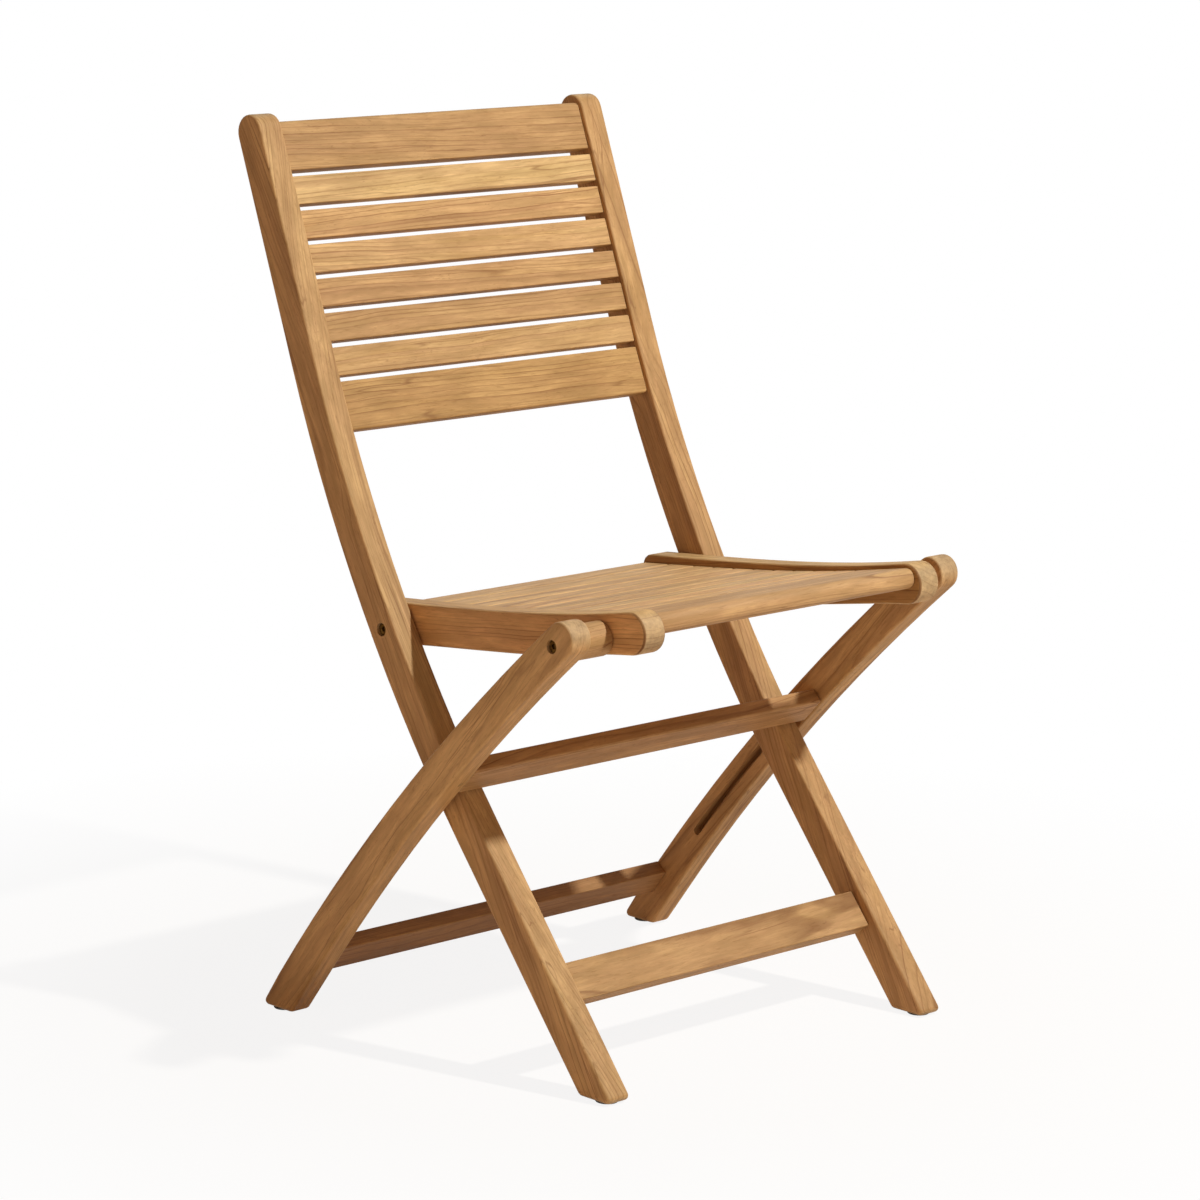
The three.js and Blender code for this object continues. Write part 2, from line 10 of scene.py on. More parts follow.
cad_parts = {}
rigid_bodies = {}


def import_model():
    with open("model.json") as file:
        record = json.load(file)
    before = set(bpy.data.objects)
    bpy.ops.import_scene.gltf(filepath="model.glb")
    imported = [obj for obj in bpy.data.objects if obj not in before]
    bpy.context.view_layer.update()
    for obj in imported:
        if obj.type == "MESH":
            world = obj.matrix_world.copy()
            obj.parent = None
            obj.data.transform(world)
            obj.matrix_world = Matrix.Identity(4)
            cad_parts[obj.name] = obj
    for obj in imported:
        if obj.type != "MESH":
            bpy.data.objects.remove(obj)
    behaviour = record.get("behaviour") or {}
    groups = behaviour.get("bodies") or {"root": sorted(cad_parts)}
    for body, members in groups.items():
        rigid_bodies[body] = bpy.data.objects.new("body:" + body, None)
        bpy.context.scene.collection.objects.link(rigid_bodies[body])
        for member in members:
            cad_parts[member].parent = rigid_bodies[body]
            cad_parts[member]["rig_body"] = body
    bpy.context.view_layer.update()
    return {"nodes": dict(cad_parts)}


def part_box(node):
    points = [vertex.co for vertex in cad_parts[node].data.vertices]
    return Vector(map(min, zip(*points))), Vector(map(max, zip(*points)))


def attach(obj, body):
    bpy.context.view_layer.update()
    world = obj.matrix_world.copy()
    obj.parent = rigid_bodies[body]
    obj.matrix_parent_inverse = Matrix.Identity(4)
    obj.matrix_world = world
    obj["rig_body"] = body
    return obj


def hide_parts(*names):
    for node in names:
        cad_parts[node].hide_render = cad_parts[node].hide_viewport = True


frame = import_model()
nodes = frame["nodes"]

ACROSS = (1, 0, 0)

# Roundings and other sizes, in metres
EDGE_ROUND = 0.0024
BOARD_ROUND = 0.0012       # slats and flat stretchers
BACK_TOP_ROUND = 0.0050    # along the top of the back's first board
BACK_LOW_ROUND = 0.0026    # along the bottom of its last board
BACK_CORNER_ROUND = 0.0050
FOOT_ROUND = 0.0040
FOOT_REACH = 0.012         # a foot's rounding goes this high
SPACER_ROUND = 0.0014
HEAD_CHAMFER = 0.0005
WELD = 0.0000008           # corners closer than this are one
NEAR = 0.00001             # places closer than this are in line
APART = 0.0001             # places further apart than this belong to different steps of a piece
LONG_EDGE = 0.1            # of a board's edges, only those along it are longer

# Angles, counts and shares
FLAT_ANGLE = math.radians(0.1)      # faces that meet at less are one
CREASE_ANGLE = math.radians(30)     # an edge above this is rounded on wood and stays sharp on a bolt
SHARP_ANGLE = math.radians(40)      # an edge above this stays sharp on rounded wood
ROUND_STEPS = 3
HEAD_SIDES = 48
HEX_SIDES = 6
HEX_SHARE = 0.92                    # the hexagon's corner, of the CAD socket's radius
HELPER_SHARE = 0.9                  # a grain that leans more to X than this is crossed with Y

# Camera, as the photograph was taken
CAMERA_PLACE = (-2.86748, -2.98316, 1.23930)
CAMERA_RIGHT = (0.72222, -0.69149, 0.01581)
CAMERA_UP = (0.12528, 0.15325, 0.98021)
CAMERA_BACK = (-0.68023, -0.70594, 0.19731)
CAMERA_REACH = 50
LENS = 128.991             # this and the sensor in millimetres
SENSOR = 36.0

# Light
LIGHT_PLACE = (0.8942, -2.2139, 3.0097)
LIGHT_AIM = (0.0, 0.0, 0.45)
LIGHT_SIZE = 0.16
LIGHT_POWER = 117.0
LIGHT_COLOR = (1.0, 1.04, 1.07)
FILL = 0.60                # at the horizon
FILL_ABOVE = 0.07          # from FILL_TOP up
FILL_TOP = 0.8
FILL_COLOR = (1.01, 0.648, 0.428)
WHITE = (1, 1, 1)

# Floor
FLOOR_HALF = 8.0
FLOOR_COLOR = (0.92, 0.84, 0.74)
FLOOR_SPOT = (0.88, 0.80, 0.71)
FLOOR_ROUGHNESS = 0.6
FLOOR_CLEAR = 0.88         # how far the floor clears to white under the chair
FLOOR_FADE = (0.42, 1.1)   # it is all white from the second distance on

# Teak colours
PALE = (0.720, 0.462, 0.200)
DEEP = (0.520, 0.312, 0.115)
ROSE = (0.540, 0.312, 0.140)
LINE = (0.215, 0.092, 0.028)
PORE = (0.180, 0.080, 0.028)
END = (0.615, 0.425, 0.222)
PALER = 1.08
STREAK_SHADE = 0.68
FIBRE_SHADE = 0.80
BLOT_SHADE = 0.48

# Growth rings
HEART_TILT = 2.4           # degrees
HEART_REACH = (0.03, 0.10)  # how far the heart lies from the piece, least and most
LOG_HALF = 3               # each piece lies somewhere in twice this length of log
RING_SPACING = 0.0058
RING_SWAYS = ((2.4, 12.0, 0.022), (9.0, 30.0, 0.0055))  # waves a metre along and across, and metres
RING_WAVES = 60.0          # in the spacing, for each metre from the heart
RING_DETAIL = 2.0
RING_SHIFT = 3.4           # rings that these waves move a line by, at most
RING_LEVELS = ((0.0, 0.10), (0.30, 0.0), (0.76, 0.14), (0.92, 1.0), (0.965, 0.70), (1.0, 0.10))
WEAKEST_RING = 0.40
TINGE_APART = 57.3         # tells the draw for a year's tinge from the draw for its line

# The wood's noises: waves a metre along the grain and across it, detail and roughness
NOISE_MIDDLE = 0.5
SWAY_NOISE = (1.0, 2.0, 0.50)
NOISES = {
    "fade": (6.0, 34.0, 2.0, 0.50),
    "fibre": (20.0, 260.0, 5.0, 0.68),
    "streak": (12.0, 92.0, 4.0, 0.62),
    "fine": (38.0, 1100.0, 2.0, 0.60),
    "pore": (75.0, 700.0, 1.0, 0.50),
    "patch": (12.0, 34.0, 3.0, 0.55),
    "blush": (7.0, 24.0, 3.0, 0.50),
    "thread": (1.8, 85.0, 1.0, 0.50),
    "held": (8.0, 40.0, 1.0, 0.50),
    "speck": (190.0, 640.0, 1.0, 0.50),
    "crowd": (16.0, 52.0, 1.0, 0.50),
}

# Noises that are alike in all directions: waves a metre, detail and roughness
EVEN_NOISES = {
    "mottle": (260.0, 4.0, 0.65), "blot": (62.0, 3.0, 0.60), "rub": (38.0, 3.0, 0.60),
    "stain": (260.0, 4.0, 0.60), "marks": (900.0, 3.0, 0.60),
    "grit": (700.0, 4.0, 0.65), "scuff": (320.0, 3.0, 0.60),
    "floor spot": (60.0, 3.0, 0.60),
}

# The values between which a level goes from none to all, or from the third number to the fourth
SPANS = {
    "fade": (0.30, 0.56, 0.30, 1.0),
    "pore": (0.60, 0.72),
    "patch": (0.36, 0.66),
    "blush": (0.42, 0.62),
    "thread": (0.002, 0.016, 1.0, 0.0),
    "held": (0.50, 0.62),
    "speck": (0.64, 0.71),
    "crowd": (0.53, 0.66),
    "dark streak": (0.50, 0.61, 0.0, 0.46),
    "pale streak": (0.38, 0.48, 0.45, 0.0),
    "fibre": (0.32, 0.66, 0.62, 0.0),
    "fine": (0.3, 0.7, 0.12, 0.0),
    "painted_side_light": (0.5, 0.9),
    "end": (0.35, 0.85),
    "near end": (0.06, 0.30),
    "mottle": (0.35, 0.65),
    "blot": (0.40, 0.58),
    "rub": (0.38, 0.66),
    "wood roughness": (0.3, 0.7, 0.54, 0.64),
    "stain": (0.40, 0.66),
    "scuff": (0.55, 0.75),
    "plastic roughness": (0.3, 0.7, 0.55, 0.75),
    "floor spot": (0.3, 0.7, 0.0, 0.06),
}
MARKS_SPAN = (0.3, 0.7)

# How much of each layer shows
COVER = {
    "blush": 0.55, "tinge": 0.60, "ring": 0.92, "thread": 0.60, "pore": 0.18, "speck": 0.34,
    "mottle": 0.45, "blot": 0.55, "ring on end": 0.40, "end": 0.75, "rub": 0.25,
}

# The wood's relief: what raises it and what lowers it, then each bump's strength and depth in metres
FIBRE_RISE = 0.5
FINE_RISE = 0.3
PORE_SINK = 0.35
RING_SINK = 0.20
WOOD_BUMP = (0.45, 0.0006)
METAL_BUMP = (0.3, 0.0001)
PLASTIC_BUMP = (0.4, 0.0002)
PORE_ROUGHNESS = 0.12

# Each wooden piece's tone, and how far it leans to red, which moves red, green and blue by these shares
RED_SHARES = (0.5, -0.4, -0.6)
TONES = {
    "stile_left": (0.92, 0.05), "leg_left": (1.05, 0.03), "seat_rail_left": (1.10, -0.04),
    "spacer_left": (0.96, 0.03), "stile_right": (1.01, 0.00), "leg_right": (1.12, 0.04),
    "seat_rail_right": (1.05, 0.00), "spacer_right": (0.94, 0.04), "front_stretcher": (0.91, 0.04),
    # The middle and rear stretchers lie in the seat's shadow: their darker, redder tones are partly
    # their own wood and partly painted shade
    "middle_stretcher": (0.87, 0.10), "rear_stretcher": (0.71, 0.16), "seat_front_slat": (0.96, 0.04),
    "peg_left": (0.85, 0.0), "peg_right": (0.85, 0.0),
}

# The back boards' tones from the top down, how far each leans to red and to gold
BACK_TONES = (
    (0.85, 0.05, 0.03), (1.20, -0.08, 0.0), (1.08, 0.02, 0.0), (1.06, 0.0, 0.0),
    (0.95, 0.04, 0.0), (0.91, 0.03, 0.02), (1.01, 0.0, 0.0), (0.88, 0.05, 0.12),
)

# The seat slats' tones are drawn from these
SEAT_DRAW = 11
SEAT_TONE = (1.06, 1.22)
SEAT_RED = (-0.05, 0.05)

# Painted shade and painted light: a tint on the sides that look to the chair's left or right, darker on
# some pieces and lighter on others, standing in for how light falls on them
NO_PAINTED_SIDE_LIGHT = (1, 1, 1)
PAINTED_SIDE_LIGHT = {
    "leg_left": (0.95, 0.90, 0.89), "stile_left": (0.99, 0.93, 0.90),
    "stile_right": (1.04, 0.96, 0.92), "seat_rail_left": (0.74, 0.60, 0.46),
    "seat_rail_right": (1.26, 1.12, 1.06),
}

# Gloss of the wood, and how dark a rounded edge is beside its end grain, which on the spacers is painted
# shade in their creases
FRAME_GLOSS = 0.20
SEAT_GLOSS = 0.4
FRONT_SLAT_GLOSS = 0.3
RAIL_END_EDGE_DARKENING = 1.0
SPACER_PAINTED_CREASE_SHADE = 0.9

# Metals: bright and dull colour, roughness, and how the marks are drawn out
BRASS = ((0.17, 0.080, 0.018), (0.070, 0.026, 0.005), 0.50, (1.0, 1.0, 1.0))
STEEL = ((0.58, 0.57, 0.55), (0.34, 0.32, 0.30), 0.30, (0.1, 1.0, 1.0))
MARKED_ROUGHNESS = 0.12
STAIN_ROUGHNESS = 0.15

# Plastic of the glides
PLASTIC = (0.052, 0.040, 0.030)
SCUFFED = (0.135, 0.110, 0.085)
SCUFF_DRAWN = (1.0, 0.25, 1.0)


def color(rgb, share=1.0):
    return (*(share * level for level in rgb), 1)


# Node trees
class Tree:
    """Adds nodes to a tree and links them, value by value."""

    def __init__(self, tree):
        self.tree = tree
        tree.nodes.clear()

    def add(self, kind, inputs=None, **settings):
        node = self.tree.nodes.new(kind)
        for key, value in settings.items():
            setattr(node, key, value)
        for key, value in (inputs or {}).items():
            self.feed(node.inputs[key], value)
        return node

    def feed(self, socket, value):
        if isinstance(value, bpy.types.NodeSocket):
            self.tree.links.new(value, socket)
        else:
            socket.default_value = value

    def math(self, operation, *values):
        node = self.add("ShaderNodeMath", operation=operation)
        for i, value in enumerate(values):
            self.feed(node.inputs[i], value)
        return node.outputs[0]

    def vector(self, operation, *values):
        node = self.add("ShaderNodeVectorMath", operation=operation)
        for i, value in enumerate(values):
            self.feed(node.inputs[i], value)
        return node.outputs["Value" if operation in ("DOT_PRODUCT", "LENGTH") else "Vector"]

    def noise(self, vector, scale, detail, rough, output="Fac"):
        node = self.add("ShaderNodeTexNoise", {
            "Vector": vector, "Scale": scale, "Detail": detail, "Roughness": rough,
        })
        return node.outputs[output]

    def chance(self, value):
        """A random level for each whole value."""
        node = self.add("ShaderNodeTexWhiteNoise", {"W": value}, noise_dimensions="1D")
        return node.outputs["Value"]

    def span(self, value, low, high, to_low=0.0, to_high=1.0):
        node = self.add("ShaderNodeMapRange", {
            "Value": value, "From Min": low, "From Max": high, "To Min": to_low, "To Max": to_high,
        })
        return node.outputs[0]

    def ramp(self, value, stops):
        node = self.add("ShaderNodeValToRGB", {"Fac": value})
        ramp = node.color_ramp
        while len(ramp.elements) < len(stops):
            ramp.elements.new(0.5)
        for element, (place, level) in zip(ramp.elements, stops):
            element.position = place
            element.color = (level, level, level, 1)
        return node.outputs["Color"]

    def mix(self, share, a, b, blend="MIX"):
        node = self.add("ShaderNodeMix", data_type="RGBA", blend_type=blend)
        # A, B and Result have one socket for each kind of data, and these are the colour ones
        self.feed(node.inputs["Factor"], share)
        self.feed(node.inputs[6], a)
        self.feed(node.inputs[7], b)
        return node.outputs[2]

    def bump(self, height, strength, depth):
        node = self.add("ShaderNodeBump", {"Height": height, "Strength": strength, "Distance": depth})
        return node.outputs[0]

    def seen(self):
        """1 for what the camera sees, also in a reflection or through glass, and 0 for other light."""
        path = self.add("ShaderNodeLightPath").outputs
        mirrored = self.math("MAXIMUM", path["Is Glossy Ray"], path["Is Transmission Ray"])
        return self.math("MAXIMUM", path["Is Camera Ray"], mirrored)


def material(name):
    made = bpy.data.materials.new(name)
    made.use_nodes = True
    return made, Tree(made.node_tree)


def surface(tree, inputs):
    shader = tree.add("ShaderNodeBsdfPrincipled", inputs)
    tree.add("ShaderNodeOutputMaterial", {"Surface": shader.outputs[0]})


# Teak: growth rings about a tilted heart, fibres along the grain, pores and slow changes of tone
def laid_out(t, place, along, draw):
    """Places with X along the grain, from a random place in the log."""
    helper = Vector((1, 0, 0)) if abs(along.x) < HELPER_SHARE else Vector((0, 1, 0))
    across = along.cross(helper).normalized()
    tilt = Matrix.Rotation(math.radians(draw.uniform(-HEART_TILT, HEART_TILT)), 3, "Y")
    tilt @= Matrix.Rotation(math.radians(draw.uniform(-HEART_TILT, HEART_TILT)), 3, "Z")
    turn = tilt @ Matrix((along, across, along.cross(across)))
    bearing = draw.uniform(0, 2 * math.pi)
    reach = draw.uniform(*HEART_REACH)
    start = (draw.uniform(-LOG_HALF, LOG_HALF), reach * math.cos(bearing), reach * math.sin(bearing))
    mapping = t.add("ShaderNodeMapping", {
        "Vector": place, "Location": start, "Rotation": turn.to_euler(),
    })
    return mapping.outputs[0]


def swayed(t, laid):
    """Places that wander across the grain, in long waves and in short ones, as the rings do."""
    bent = laid
    for along, across, sway in RING_SWAYS:
        waves = t.vector("MULTIPLY", laid, (along, across, across))
        wander = t.vector("SUBTRACT", t.noise(waves, *SWAY_NOISE, "Color"), (NOISE_MIDDLE,) * 3)
        bent = t.vector("ADD", bent, t.vector("MULTIPLY", wander, (0.0, sway, sway)))
    return bent


def figure(t, place, kind):
    """One of the wood's noises, drawn out along the grain."""
    along, across, detail, rough = NOISES[kind]
    return t.noise(t.vector("MULTIPLY", place, (along, across, across)), 1.0, detail, rough)


def even_noise(t, place, kind):
    return t.noise(place, *EVEN_NOISES[kind])


def spanned(t, value, kind):
    return t.span(value, *SPANS[kind])


def covering(t, value, kind):
    return t.math("MULTIPLY", value, COVER[kind])


def growth_rings(t, laid, bent):
    """The rings' dark lines, which fade here and there, and a random level for each year."""
    radius = t.vector("LENGTH", t.vector("MULTIPLY", bent, (0.0, 1.0, 1.0)))
    uneven = t.add("ShaderNodeTexNoise", {
        "W": t.math("MULTIPLY", radius, RING_WAVES), "Scale": 1.0, "Detail": RING_DETAIL,
    }, noise_dimensions="1D").outputs["Fac"]
    shift = t.math("MULTIPLY", uneven, RING_SHIFT)
    phase = t.math("ADD", t.math("DIVIDE", radius, RING_SPACING), shift)
    ring = t.ramp(t.math("FRACT", phase), RING_LEVELS)
    year = t.math("FLOOR", phase)
    tinge = t.chance(t.math("ADD", year, TINGE_APART))
    fade = spanned(t, figure(t, laid, "fade"), "fade")
    strength = t.span(t.chance(year), 0.0, 1.0, WEAKEST_RING, 1.0)
    return t.math("MULTIPLY", t.math("MULTIPLY", ring, fade), strength), tinge


def end_grain(t, laid, ring):
    mottle = spanned(t, even_noise(t, laid, "mottle"), "mottle")
    blot = spanned(t, even_noise(t, laid, "blot"), "blot")
    mottle = t.math("ADD", covering(t, mottle, "mottle"), covering(t, blot, "blot"))
    mottled = t.mix(mottle, color(END, BLOT_SHADE), color(END))
    return t.mix(covering(t, ring, "ring on end"), mottled, color(LINE))


def teak(name, grain, tone=1.0, red=0.0, gold=0.0, gloss=FRAME_GLOSS, end_edge_darkening=0.0):
    draw = random.Random(name)
    made, t = material(f"{name}_teak")
    along = Vector(grain).normalized()
    source = t.add("ShaderNodeTexCoord").outputs
    laid = laid_out(t, source["Object"], along, draw)
    bent = swayed(t, laid)
    ring, tinge = growth_rings(t, laid, bent)

    fibre, streak, fine = (figure(t, bent, kind) for kind in ("fibre", "streak", "fine"))
    pore = spanned(t, figure(t, bent, "pore"), "pore")
    patch = spanned(t, figure(t, laid, "patch"), "patch")
    blush = spanned(t, figure(t, laid, "blush"), "blush")
    thread = t.math("ABSOLUTE", t.math("SUBTRACT", figure(t, bent, "thread"), NOISE_MIDDLE))
    held = spanned(t, figure(t, laid, "held"), "held")
    thread = t.math("MULTIPLY", spanned(t, thread, "thread"), held)
    crowd = spanned(t, figure(t, laid, "crowd"), "crowd")
    speck = t.math("MULTIPLY", spanned(t, figure(t, bent, "speck"), "speck"), crowd)

    # From the wood's slow patches up to its finest fibres
    body = t.mix(patch, color(DEEP), color(PALE))
    for share, shade in (
        (covering(t, blush, "blush"), color(ROSE)),
        (covering(t, tinge, "tinge"), color(ROSE)),
        (spanned(t, streak, "dark streak"), color(DEEP, STREAK_SHADE)),
        (spanned(t, streak, "pale streak"), color(PALE, PALER)),
        (spanned(t, fibre, "fibre"), color(DEEP, FIBRE_SHADE)),
        (covering(t, ring, "ring"), color(LINE)),
        (covering(t, thread, "thread"), color(LINE)),
        (covering(t, pore, "pore"), color(PORE)),
        (covering(t, speck, "speck"), color(PORE)),
        (spanned(t, fine, "fine"), color(LINE)),
    ):
        body = t.mix(share, body, shade)

    # The piece's own tone, and painted shade and light on its sides that look left or right
    tint = [1 + share * red for share in RED_SHARES]
    tint[2] -= gold
    body = t.mix(1.0, body, color(tint, tone), "MULTIPLY")
    painted_side_mask = t.math("ABSOLUTE", t.vector("DOT_PRODUCT", source["Normal"], ACROSS))
    painted_side_light = t.mix(1.0, body, color(PAINTED_SIDE_LIGHT.get(name, NO_PAINTED_SIDE_LIGHT)), "MULTIPLY")
    body = t.mix(spanned(t, painted_side_mask, "painted_side_light"), body, painted_side_light)

    # End grain where the face looks along the grain
    facing = t.math("ABSOLUTE", t.vector("DOT_PRODUCT", source["Normal"], tuple(along)))
    body = t.mix(covering(t, spanned(t, facing, "end"), "end"), body, end_grain(t, laid, ring))

    # Handled edges are a little paler, and a rounded edge beside end grain is darker: a dark line along
    # the rails' noses, and painted shade in the spacers' creases at the rail and the leg
    edge = t.add("ShaderNodeAttribute", attribute_name="rounded").outputs["Fac"]
    if end_edge_darkening:
        darkened_end_edge = t.math("MULTIPLY", edge, spanned(t, facing, "near end"))
        body = t.mix(t.math("MULTIPLY", darkened_end_edge, end_edge_darkening), body, color(LINE))
    rubbed = t.math("MULTIPLY", edge, spanned(t, even_noise(t, laid, "rub"), "rub"))
    body = t.mix(covering(t, rubbed, "rub"), body, color(PALE, PALER))

    height = t.math("ADD", t.math("MULTIPLY", fibre, FIBRE_RISE), t.math("MULTIPLY", fine, FINE_RISE))
    height = t.math("SUBTRACT", height, t.math("MULTIPLY", pore, PORE_SINK))
    height = t.math("SUBTRACT", height, t.math("MULTIPLY", ring, RING_SINK))
    open_pore = t.math("MULTIPLY", pore, PORE_ROUGHNESS)
    surface(t, {
        "Base Color": body, "Specular IOR Level": gloss, "Normal": t.bump(height, *WOOD_BUMP),
        "Roughness": t.math("ADD", spanned(t, fibre, "wood roughness"), open_pore),
    })
    return made


def metal(name, bright, dull, rough, drawn):
    made, t = material(name)
    place = t.add("ShaderNodeTexCoord").outputs["Object"]
    stain = spanned(t, even_noise(t, place, "stain"), "stain")
    marks = even_noise(t, t.vector("MULTIPLY", place, drawn), "marks")
    marked = t.span(marks, *MARKS_SPAN, rough, rough + MARKED_ROUGHNESS)
    surface(t, {
        "Base Color": t.mix(stain, color(bright), color(dull)), "Metallic": 1.0,
        "Specular Tint": color(bright), "Normal": t.bump(marks, *METAL_BUMP),
        "Roughness": t.math("ADD", marked, t.math("MULTIPLY", stain, STAIN_ROUGHNESS)),
    })
    return made


def glide_plastic():
    made, t = material("glide_plastic_look")
    place = t.add("ShaderNodeTexCoord").outputs["Object"]
    grit = even_noise(t, place, "grit")
    scuff = spanned(t, even_noise(t, t.vector("MULTIPLY", place, SCUFF_DRAWN), "scuff"), "scuff")
    surface(t, {
        "Base Color": t.mix(scuff, color(PLASTIC), color(SCUFFED)),
        "Normal": t.bump(grit, *PLASTIC_BUMP), "Roughness": spanned(t, grit, "plastic roughness"),
    })
    return made


# Meshes
def in_scene(name, data):
    made = bpy.data.objects.new(name, data)
    bpy.context.scene.collection.objects.link(made)
    return made


def stand_for(node, name, mesh):
    """A new piece that rides where the CAD node does and takes its place."""
    piece = in_scene(name, mesh)
    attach(piece, nodes[node]["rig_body"])
    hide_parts(node)
    return piece


def centre(name):
    low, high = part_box(name)
    return (low + high) / 2


def in_plane(part, plane):
    return all(abs(vert.co.x - plane) < NEAR for vert in part.verts)


def loops_of(edges):
    """Groups of edges that hang together by their corners, each in the mesh's own order."""
    left = set(edges)
    groups = []
    for start in edges:
        if start not in left:
            continue
        left.remove(start)
        group = [start]
        for edge in group:
            near = [other for vert in edge.verts for other in vert.link_edges if other in left]
            left.difference_update(near)
            group.extend(near)
        groups.append(sorted(group, key=lambda edge: edge.index))
    return groups


def girth(edges):
    places = [vert.co for edge in edges for vert in edge.verts]
    return sum(max(p[i] for p in places) - min(p[i] for p in places) for i in range(3))


def crease(edge):
    return len(edge.link_faces) == 2 and edge.is_convex and edge.calc_face_angle(0) > CREASE_ANGLE


def smooth_below(bm, angle):
    for face in bm.faces:
        face.smooth = True
    bm.normal_update()
    for edge in bm.edges:
        edge.smooth = edge.calc_face_angle(0) < angle


def in_turn(edges):
    """The corners of a closed loop of edges, one after another."""
    edge = edges[0]
    first, corner = edge.verts
    corners = [first]
    while corner is not first:
        corners.append(corner)
        edge = next(other for other in corner.link_edges if other in edges and other is not edge)
        corner = edge.other_vert(corner)
    return corners


def ways_in(corners):
    """For each corner of an outline, its way to the same outline drawn in by one."""
    places = [vert.co.yz for vert in corners]
    following = places[1:] + places[:1]
    turn = 1 if sum(a.x * b.y - b.x * a.y for a, b in zip(places, following)) > 0 else -1
    normals = [Vector((a.y - b.y, b.x - a.x)).normalized() * turn for a, b in zip(places, following)]
    ways = []
    for before, after in zip(normals[-1:] + normals[:-1], normals):
        way = (before + after) / (1 + before.dot(after))
        ways.append(Vector((0, way.x, way.y)))
    return ways


def round_plate(bm, width, foot_width):
    """Rounds the outlines of a plate's two faces, more at its foot, and fills the faces again."""
    rounded = bm.verts.layers.float.new("rounded")
    floor_level = min(vert.co.z for vert in bm.verts)
    for side in (-1, 1):
        plane = side * max(side * vert.co.x for vert in bm.verts)
        flat = [face for face in bm.faces if in_plane(face, plane)]
        bmesh.ops.delete(bm, geom=flat, context="FACES")
        bm.edges.index_update()
        rims = [edge for edge in bm.edges if edge.is_boundary and in_plane(edge, plane)]
        *holes, outline = sorted(loops_of(rims), key=girth)
        corners = in_turn(outline)
        places = [vert.co.copy() for vert in corners]
        widths = [foot_width if place.z < floor_level + FOOT_REACH else width for place in places]
        ways = ways_in(corners)
        ring = corners
        for step in range(ROUND_STEPS + 1):
            angle = math.pi / 2 * step / ROUND_STEPS
            inward = 1 - math.cos(angle)
            sunk = Vector((side * (1 - math.sin(angle)), 0, 0))
            spots = [
                place + way * wide * inward - sunk * wide
                for place, way, wide in zip(places, ways, widths)
            ]
            if step == 0:
                for vert, spot in zip(corners, spots):
                    vert.co = spot
                continue
            inner = [bm.verts.new(spot) for spot in spots]
            for i, vert in enumerate(inner):
                vert[rounded] = 0.0 if step == ROUND_STEPS else 1.0
                bm.faces.new((ring[i - 1], ring[i], inner[i], inner[i - 1]))
            ring = inner
        rims = [bm.edges.get((ring[i - 1], ring[i])) for i in range(len(ring))]
        rims += [edge for hole in holes for edge in hole]
        bmesh.ops.triangle_fill(bm, edges=rims, use_beauty=True, use_dissolve=False, normal=(side, 0, 0))
    bmesh.ops.recalc_face_normals(bm, faces=bm.faces)


def board_edges(bm, width):
    """The convex edges of a board, and none of its tenons."""
    reach = max(abs(vert.co.x) for vert in bm.verts)
    shoulder = max(abs(vert.co.x) for vert in bm.verts if abs(vert.co.x) < reach - APART)
    edges = [edge for edge in bm.edges if all(abs(vert.co.x) < shoulder + NEAR for vert in edge.verts)]
    return {edge: width for edge in edges if crease(edge)}


def outer_board_edges(bm, width, up, outer_width):
    """A board's edges, rounded more along its top, or its bottom where up is -1, and at its corners."""
    picked = board_edges(bm, width)
    long = [edge for edge in picked if abs(edge.verts[0].co.x - edge.verts[1].co.x) > LONG_EDGE]
    outer = sorted(long, key=lambda edge: -up * edge.verts[0].co.z)[:2]
    corners = {vert for edge in outer for vert in edge.verts}
    for edge in picked:
        if edge in outer:
            picked[edge] = outer_width
        elif all(vert in corners for vert in edge.verts):
            picked[edge] = BACK_CORNER_ROUND
    return picked


def ring_edges(bm, width):
    """The outer rims of a ring about an axis along X."""
    middle = sum((vert.co for vert in bm.verts), Vector()) / len(bm.verts)

    def radius(vert):
        return (vert.co - middle).yz.length

    far = max(radius(vert) for vert in bm.verts)
    rims = [edge for edge in bm.edges if all(radius(vert) > far - APART for vert in edge.verts)]
    return {edge: width for edge in rims if crease(edge)}


def bevelled(bm, picker, width, name):
    """A mesh with the picked edges rounded, each by its own width."""
    weight = bm.edges.layers.float.new("bevel_weight_edge")
    picked = picker(bm, width)
    widest = max(picked.values())
    for edge, wide in picked.items():
        edge[weight] = wide / widest
    mesh = bpy.data.meshes.new(f"{name}_blank")
    bm.to_mesh(mesh)
    # The second material slot tells the faces that the bevel makes from the flat ones
    marker = bpy.data.materials.new(f"{name}_marker")
    mesh.materials.append(marker)
    mesh.materials.append(marker)
    blank = in_scene(f"{name}_blank", mesh)
    rounding = blank.modifiers.new("rounded edges", "BEVEL")
    rounding.limit_method = "WEIGHT"
    rounding.width = widest
    rounding.segments = ROUND_STEPS
    rounding.use_clamp_overlap = False
    rounding.material = 1
    depsgraph = bpy.context.evaluated_depsgraph_get()
    made = bpy.data.meshes.new_from_object(blank.evaluated_get(depsgraph))
    bpy.data.objects.remove(blank)
    bpy.data.meshes.remove(mesh)
    flat = {i for face in made.polygons if face.material_index == 0 for i in face.vertices}
    rounded = made.attributes.new("rounded", "FLOAT", "POINT")
    for i, value in enumerate(rounded.data):
        value.value = 0.0 if i in flat else 1.0
    made.materials.clear()
    bpy.data.materials.remove(marker)
    return made


